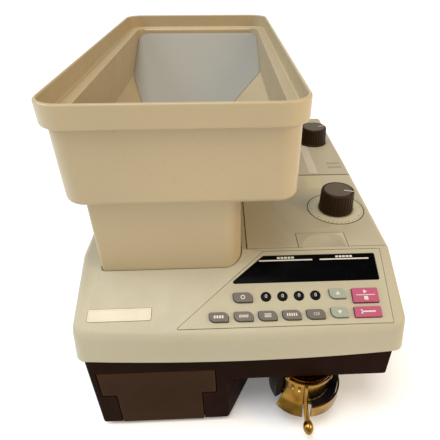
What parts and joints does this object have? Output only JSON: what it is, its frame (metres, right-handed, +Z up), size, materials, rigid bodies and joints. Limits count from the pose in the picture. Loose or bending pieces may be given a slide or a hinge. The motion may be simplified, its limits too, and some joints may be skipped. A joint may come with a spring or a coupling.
{
  "type": "coin sorting machine",
  "caption": "Desktop coin sorting and counting machine: a deep rectangular hopper feeds a deck with keypad, display, setting knobs and a brass bag spout.",
  "frame": {"origin": "middle of the footprint, on the surface that the rubber feet stand on", "axes": "+X to the right across the front, +Y from the front to the rear, +Z up"},
  "size_m": [0.2712, 0.4458, 0.287],
  "materials": {
    "cover_plastic": "fine-textured beige ABS moulding",
    "hopper_plastic": "fine-textured beige ABS moulding",
    "base_plastic": "dark brown textured moulding",
    "knob_plastic": "dark brown fluted moulding with a cream pointer",
    "display_glass": "glossy black display filter",
    "grey_key_plastic": "grey-brown key cap with pale marks",
    "green_key_plastic": "pale grey-green key cap with a white arrow",
    "rose_key_plastic": "rose key cap with pale marks",
    "button_plastic": "round black button with a pale digit",
    "label_plastic": "printed pale label stock",
    "spout_brass": "polished brass",
    "collar_plastic": "black moulding",
    "plated_steel": "zinc-plated steel",
    "foot_rubber": "matt black rubber",
    "belt_rubber": "ribbed black rubber",
    "circuit_board": "green circuit board"
  },
  "bodies": {
    "chassis": {"base_housing": "base_plastic", "foot_front_left": "foot_rubber", "foot_front_centre": "foot_rubber", "foot_right": "foot_rubber", "foot_rear_left": "foot_rubber", "foot_rear_right": "foot_rubber", "chassis_plate": "plated_steel", "upper_cover": "cover_plastic", "feeder_housing": "cover_plastic", "hopper": "hopper_plastic", "lid_hinge_pin": "plated_steel", "panel_overlay": "cover_plastic", "display_window": "display_glass", "nameplate": "label_plastic", "keypad_board": "circuit_board", "outlet_spout": "spout_brass", "outlet_collar": "collar_plastic", "disc_bearing": "spout_brass", "drive_motor": "plated_steel", "drive_belt": "belt_rubber", "coin_rail": "plated_steel", "coin_sensor": "collar_plastic", "control_board": "circuit_board", "power_supply": "plated_steel", "power_inlet": "collar_plastic"},
    "lid": {"deck_lid": "cover_plastic", "dial_ring": "label_plastic", "transport_frame": "plated_steel", "transport_belt": "belt_rubber"},
    "latch": {"lid_latch": "cover_plastic"},
    "diameter_knob": {"knob_diameter": "knob_plastic"},
    "guide": {"width_guide": "plated_steel"},
    "thickness_knob": {"knob_thickness": "knob_plastic"},
    "gate": {"thickness_gate": "plated_steel"},
    "front_roller": {"transport_roller_front": "plated_steel"},
    "rear_roller": {"transport_roller_rear": "plated_steel"},
    "disc": {"feed_disc": "plated_steel", "disc_shaft": "plated_steel", "disc_pulley": "plated_steel"},
    "motor_rotor": {"motor_pulley": "plated_steel"},
    "drawer": {"reject_drawer": "base_plastic"},
    "clamp_lever": {"clamp_lever": "spout_brass"},
    "clamp_hoop": {"bag_clamp_hoop": "spout_brass"},
    "rocker": {"power_switch": "collar_plastic"},
    "key_mode": {"key_mode": "grey_key_plastic"},
    "key_function": {"key_function": "grey_key_plastic"},
    "key_type": {"key_type": "grey_key_plastic"},
    "key_set": {"key_set": "grey_key_plastic"},
    "key_batch": {"key_batch": "grey_key_plastic"},
    "key_count": {"key_count": "grey_key_plastic"},
    "key_up": {"key_up": "green_key_plastic"},
    "key_down": {"key_down": "green_key_plastic"},
    "key_start_stop": {"key_start_stop": "rose_key_plastic"},
    "key_clear": {"key_clear": "rose_key_plastic"},
    "digit_button_1": {"digit_button_1": "button_plastic"},
    "digit_button_2": {"digit_button_2": "button_plastic"},
    "digit_button_3": {"digit_button_3": "button_plastic"},
    "digit_button_4": {"digit_button_4": "button_plastic"}
  },
  "joints": [
    {"name": "lid_hinge", "type": "hinge", "parent": "chassis", "child": "lid", "pos_m": [0.0666, 0.01205, 0.1433], "axis": [-1, 0, 0], "range_deg": [0, 20]},
    {"name": "latch_press", "type": "hinge", "parent": "lid", "child": "latch", "pos_m": [0.07635, -0.10365, 0.1464], "axis": [1, 0, 0], "range_deg": [0, 5], "stiffness_Nm_per_rad": 0.05},
    {"name": "diameter_turn", "type": "hinge", "parent": "lid", "child": "diameter_knob", "pos_m": [0.1008, -0.06145, 0.15], "axis": [0, 0, 1], "range_deg": [-120, 150]},
    {"name": "guide_slide", "type": "slide", "parent": "lid", "child": "guide", "axis": [1, 0, 0], "range_m": [-0.00419, 0.00524]},
    {"name": "thickness_turn", "type": "hinge", "parent": "chassis", "child": "thickness_knob", "pos_m": [0.1075, 0.10315, 0.152], "axis": [0, 0, 1], "range_deg": [0, 270]},
    {"name": "gate_lift", "type": "slide", "parent": "chassis", "child": "gate", "axis": [0, 0, 1], "range_m": [0, 0.00236]},
    {"name": "disc_spin", "type": "hinge", "parent": "chassis", "child": "disc", "pos_m": [-0.0294, 0.00305, 0.098], "axis": [0, 0, 1], "continuous": true},
    {"name": "motor_spin", "type": "hinge", "parent": "chassis", "child": "motor_rotor", "pos_m": [0.0566, 0.07305, 0.07], "axis": [0, 0, 1], "continuous": true},
    {"name": "front_roller_spin", "type": "hinge", "parent": "lid", "child": "front_roller", "pos_m": [0.0641, -0.10195, 0.1087], "axis": [1, 0, 0], "continuous": true},
    {"name": "rear_roller_spin", "type": "hinge", "parent": "lid", "child": "rear_roller", "pos_m": [0.0641, -0.03695, 0.1087], "axis": [1, 0, 0], "continuous": true},
    {"name": "drawer_slide", "type": "slide", "parent": "chassis", "child": "drawer", "axis": [0, -1, 0], "range_m": [0, 0.095]},
    {"name": "lever_swing", "type": "hinge", "parent": "chassis", "child": "clamp_lever", "pos_m": [0.0591, -0.19365, 0.0576], "axis": [-1, 0, 0], "range_deg": [0, 15]},
    {"name": "hoop_lift", "type": "hinge", "parent": "chassis", "child": "clamp_hoop", "pos_m": [0.0591, -0.14395, 0.029], "axis": [-1, 0, 0], "range_deg": [0, 6]},
    {"name": "rocker_tilt", "type": "hinge", "parent": "chassis", "child": "rocker", "pos_m": [-0.0564, 0.19105, 0.0365], "axis": [1, 0, 0], "range_deg": [-5, 5]},
    {"name": "key_mode_press", "type": "slide", "parent": "chassis", "child": "key_mode", "axis": [0, 0.4195, -0.9078], "range_m": [0, 0.0015], "stiffness_N_per_m": 150},
    {"name": "key_function_press", "type": "slide", "parent": "chassis", "child": "key_function", "axis": [0, 0.4195, -0.9078], "range_m": [0, 0.0015], "stiffness_N_per_m": 150},
    {"name": "key_type_press", "type": "slide", "parent": "chassis", "child": "key_type", "axis": [0, 0.4195, -0.9078], "range_m": [0, 0.0015], "stiffness_N_per_m": 150},
    {"name": "key_set_press", "type": "slide", "parent": "chassis", "child": "key_set", "axis": [0, 0.4195, -0.9078], "range_m": [0, 0.0015], "stiffness_N_per_m": 150},
    {"name": "key_batch_press", "type": "slide", "parent": "chassis", "child": "key_batch", "axis": [0, 0.4195, -0.9078], "range_m": [0, 0.0015], "stiffness_N_per_m": 150},
    {"name": "key_count_press", "type": "slide", "parent": "chassis", "child": "key_count", "axis": [0, 0.4195, -0.9078], "range_m": [0, 0.0015], "stiffness_N_per_m": 150},
    {"name": "key_up_press", "type": "slide", "parent": "chassis", "child": "key_up", "axis": [0, 0.4195, -0.9078], "range_m": [0, 0.0015], "stiffness_N_per_m": 150},
    {"name": "key_down_press", "type": "slide", "parent": "chassis", "child": "key_down", "axis": [0, 0.4195, -0.9078], "range_m": [0, 0.0015], "stiffness_N_per_m": 150},
    {"name": "key_start_stop_press", "type": "slide", "parent": "chassis", "child": "key_start_stop", "axis": [0, 0.4195, -0.9078], "range_m": [0, 0.0015], "stiffness_N_per_m": 150},
    {"name": "key_clear_press", "type": "slide", "parent": "chassis", "child": "key_clear", "axis": [0, 0.4195, -0.9078], "range_m": [0, 0.0015], "stiffness_N_per_m": 150},
    {"name": "digit_button_1_press", "type": "slide", "parent": "chassis", "child": "digit_button_1", "axis": [0, 0.4195, -0.9078], "range_m": [0, 0.001], "stiffness_N_per_m": 150},
    {"name": "digit_button_2_press", "type": "slide", "parent": "chassis", "child": "digit_button_2", "axis": [0, 0.4195, -0.9078], "range_m": [0, 0.001], "stiffness_N_per_m": 150},
    {"name": "digit_button_3_press", "type": "slide", "parent": "chassis", "child": "digit_button_3", "axis": [0, 0.4195, -0.9078], "range_m": [0, 0.001], "stiffness_N_per_m": 150},
    {"name": "digit_button_4_press", "type": "slide", "parent": "chassis", "child": "digit_button_4", "axis": [0, 0.4195, -0.9078], "range_m": [0, 0.001], "stiffness_N_per_m": 150}
  ],
  "couplings": [
    {"joint": "diameter_turn", "follows": "guide_slide", "rad_per_m": 500},
    {"joint": "thickness_turn", "follows": "gate_lift", "rad_per_m": 2000},
    {"joint": "motor_spin", "follows": "disc_spin", "ratio": 3.1111},
    {"joint": "front_roller_spin", "follows": "disc_spin", "ratio": -3},
    {"joint": "rear_roller_spin", "follows": "disc_spin", "ratio": -3},
    {"joint": "hoop_lift", "follows": "lever_swing", "ratio": 0.4}
  ]
}
